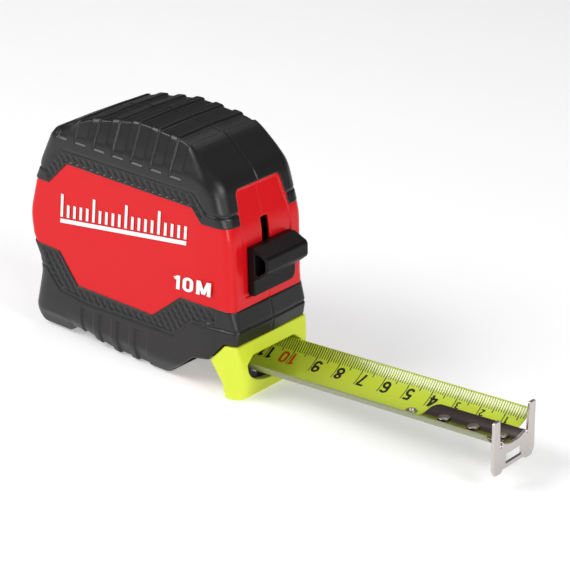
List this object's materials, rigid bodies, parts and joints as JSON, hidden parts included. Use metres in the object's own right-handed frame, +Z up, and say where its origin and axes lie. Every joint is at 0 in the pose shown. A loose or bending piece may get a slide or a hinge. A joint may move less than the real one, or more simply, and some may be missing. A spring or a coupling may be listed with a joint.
{
  "type": "tape measure",
  "caption": "Pocket tape measure with a two-colour overmoulded case, wide hollow blade with end hook, thumb lock and belt clip.",
  "frame": {"origin": "centre of the flat middle foot of the base, on the case's middle plane", "axes": "+X out of the mouth along the blade, +Z up, +Y towards the belt clip's side"},
  "size_m": [0.2015, 0.0518, 0.0916],
  "materials": {
    "shell": "semi-gloss red",
    "rubber": "matte black overmoulding",
    "mouth": "satin high-visibility yellow",
    "button": "satin black",
    "nylon": "matte dark grey",
    "blade": "satin yellow-green paint under a clear coat",
    "hook": "bright nickel plate",
    "rivet": "bright nickel plate",
    "spring_steel": "blued spring steel",
    "drum": "matte dark grey",
    "washer": "natural nylon",
    "screw": "black oxide",
    "clip": "satin steel",
    "insert": "plain"
  },
  "bodies": {
    "case": {"left_shell": "shell", "right_shell": "shell", "left_upper_grip": "rubber", "left_lower_grip": "rubber", "right_upper_grip": "rubber", "right_lower_grip": "rubber", "mouth_piece": "mouth", "wear_pad": "nylon", "lock_detent_spring": "spring_steel", "centre_post": "nylon", "power_spring": "spring_steel", "thrust_washers": "washer", "case_screws": "screw", "belt_clip_screw": "screw", "belt_clip_insert": "insert"},
    "blade": {"blade": "blade", "hook_rivets": "rivet", "hook_backing_strip": "rivet", "blade_eyelet": "rivet"},
    "hook": {"hook": "hook"},
    "reel": {"blade_coil": "blade", "reel_drum": "drum", "drum_cover": "drum"},
    "lock": {"lock_button": "button", "lock_carrier": "nylon"},
    "clip": {"belt_clip": "clip"}
  },
  "joints": [
    {"name": "blade_slide", "type": "slide", "parent": "case", "child": "blade", "axis": [0.9972, 0, 0.075], "range_m": [-0.099, 0], "deforming": ["blade"]},
    {"name": "reel_spin", "type": "hinge", "parent": "case", "child": "reel", "pos_m": [-0.008, 0, 0.044], "axis": [0, 1, 0], "range_deg": [0, 175]},
    {"name": "lock_slide", "type": "slide", "parent": "case", "child": "lock", "axis": [-0.1063, 0, 0.9943], "range_m": [0, 0.008]},
    {"name": "hook_slide", "type": "slide", "parent": "blade", "child": "hook", "axis": [0.9972, 0, 0.075], "range_m": [-0.001, 0]},
    {"name": "clip_flex", "type": "hinge", "parent": "case", "child": "clip", "pos_m": [-0.008, 0.0256, 0.0655], "axis": [1, 0, 0], "range_deg": [0, 6], "stiffness_Nm_per_rad": 6, "deforming": ["belt_clip"]}
  ],
  "couplings": [
    {"joint": "reel_spin", "follows": "blade_slide", "rad_per_m": -30.488}
  ]
}
